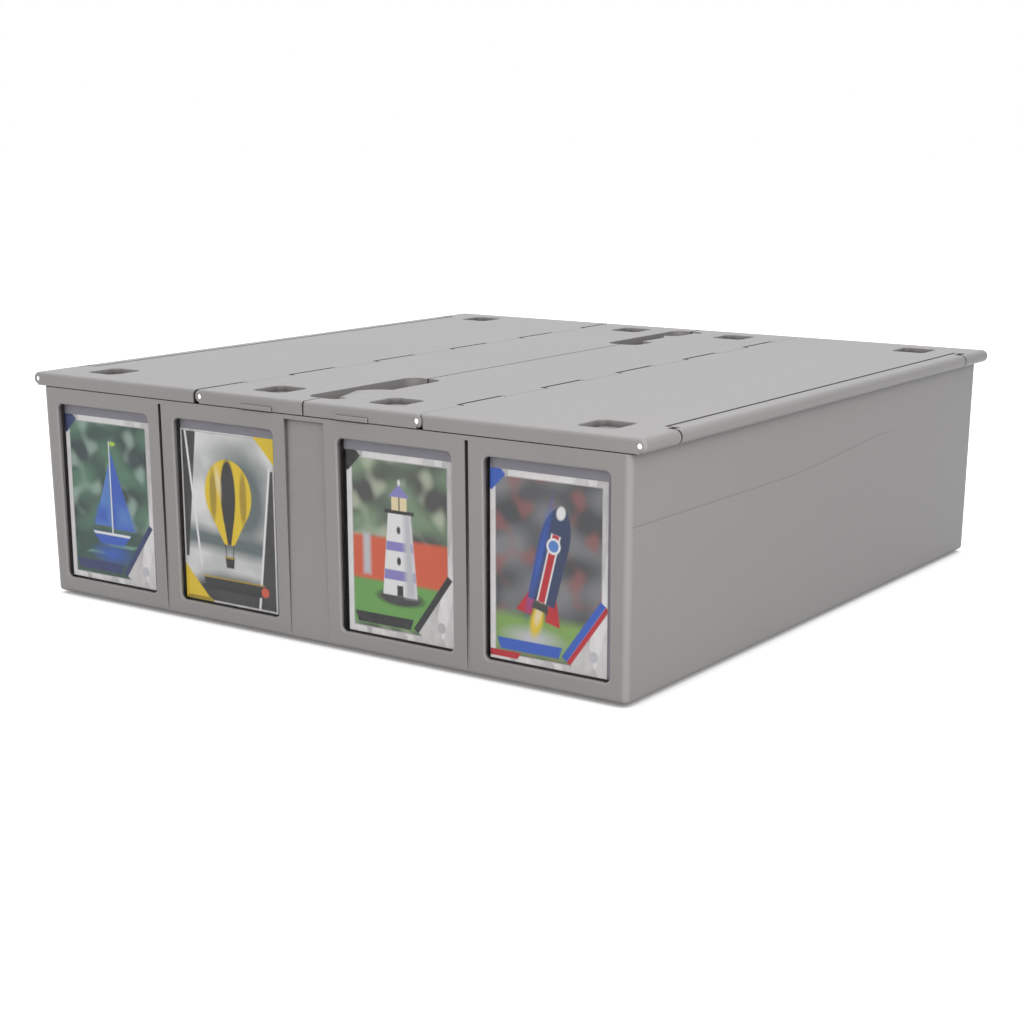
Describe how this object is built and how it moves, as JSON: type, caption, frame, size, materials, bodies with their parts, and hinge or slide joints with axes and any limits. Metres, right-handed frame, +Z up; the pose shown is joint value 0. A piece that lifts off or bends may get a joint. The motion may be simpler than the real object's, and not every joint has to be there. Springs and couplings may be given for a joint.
{
  "type": "trading card storage bin",
  "caption": "Long plastic bin for rows of standing cards, with card windows in the front wall and a hinged lid whose panels open to both sides and fold.",
  "frame": {"origin": "middle of the bin, on the surface that its feet stand on", "axes": "+Z up, -Y out of the front wall with the card windows, +X to the right seen from the front"},
  "size_m": [0.3846, 0.387, 0.1213],
  "materials": {
    "bin_plastic": "satin moulded grey",
    "hinge_steel": "drawn wire, cut ends",
    "holder_plastic": "clear rigid sheet",
    "sleeve_film": "soft clear film",
    "card_1": "coated print",
    "card_2": "coated print",
    "card_3": "coated print",
    "card_4": "coated print"
  },
  "bodies": {
    "bin": {"bin_body": "bin_plastic", "outer_left_hinge_rod": "hinge_steel", "outer_right_hinge_rod": "hinge_steel"},
    "outer_left_lid": {"outer_left_lid_panel": "bin_plastic", "inner_left_hinge_rod": "hinge_steel"},
    "inner_left_lid": {"inner_left_lid_panel": "bin_plastic"},
    "outer_right_lid": {"outer_right_lid_panel": "bin_plastic", "inner_right_hinge_rod": "hinge_steel"},
    "inner_right_lid": {"inner_right_lid_panel": "bin_plastic"},
    "row_1_card_display": {"row_1_card_holder": "holder_plastic", "row_1_card_sleeve": "sleeve_film", "row_1_display_card": "card_1"},
    "row_1_divider": {"row_1_partition": "bin_plastic"},
    "row_2_card_display": {"row_2_card_holder": "holder_plastic", "row_2_card_sleeve": "sleeve_film", "row_2_display_card": "card_2"},
    "row_2_divider": {"row_2_partition": "bin_plastic"},
    "row_3_card_display": {"row_3_card_holder": "holder_plastic", "row_3_card_sleeve": "sleeve_film", "row_3_display_card": "card_3"},
    "row_3_divider": {"row_3_partition": "bin_plastic"},
    "row_4_card_display": {"row_4_card_holder": "holder_plastic", "row_4_card_sleeve": "sleeve_film", "row_4_display_card": "card_4"},
    "row_4_divider": {"row_4_partition": "bin_plastic"}
  },
  "joints": [
    {"name": "outer_left_lid_hinge", "type": "hinge", "parent": "bin", "child": "outer_left_lid", "pos_m": [-0.1889, 0, 0.11785], "axis": [0, -1, 0], "range_deg": [0, 200]},
    {"name": "inner_left_lid_hinge", "type": "hinge", "parent": "outer_left_lid", "child": "inner_left_lid", "pos_m": [-0.069, 0, 0.11785], "axis": [0, -1, 0], "range_deg": [0, 55]},
    {"name": "outer_right_lid_hinge", "type": "hinge", "parent": "bin", "child": "outer_right_lid", "pos_m": [0.1889, 0, 0.11785], "axis": [0, 1, 0], "range_deg": [0, 200]},
    {"name": "inner_right_lid_hinge", "type": "hinge", "parent": "outer_right_lid", "child": "inner_right_lid", "pos_m": [0.069, 0, 0.11785], "axis": [0, 1, 0], "range_deg": [0, 55]},
    {"name": "row_1_holder_slide", "type": "slide", "parent": "bin", "child": "row_1_card_display", "axis": [0, 0, 1], "range_m": [0, 0.0055]},
    {"name": "row_1_partition_slide", "type": "slide", "parent": "bin", "child": "row_1_divider", "axis": [0, 1, 0], "range_m": [-0.314, 0.04]},
    {"name": "row_2_holder_slide", "type": "slide", "parent": "bin", "child": "row_2_card_display", "axis": [0, 0, 1], "range_m": [0, 0.0055]},
    {"name": "row_2_partition_slide", "type": "slide", "parent": "bin", "child": "row_2_divider", "axis": [0, 1, 0], "range_m": [-0.314, 0.04]},
    {"name": "row_3_holder_slide", "type": "slide", "parent": "bin", "child": "row_3_card_display", "axis": [0, 0, 1], "range_m": [0, 0.0055]},
    {"name": "row_3_partition_slide", "type": "slide", "parent": "bin", "child": "row_3_divider", "axis": [0, 1, 0], "range_m": [-0.314, 0.04]},
    {"name": "row_4_holder_slide", "type": "slide", "parent": "bin", "child": "row_4_card_display", "axis": [0, 0, 1], "range_m": [0, 0.0055]},
    {"name": "row_4_partition_slide", "type": "slide", "parent": "bin", "child": "row_4_divider", "axis": [0, 1, 0], "range_m": [-0.314, 0.04]}
  ]
}
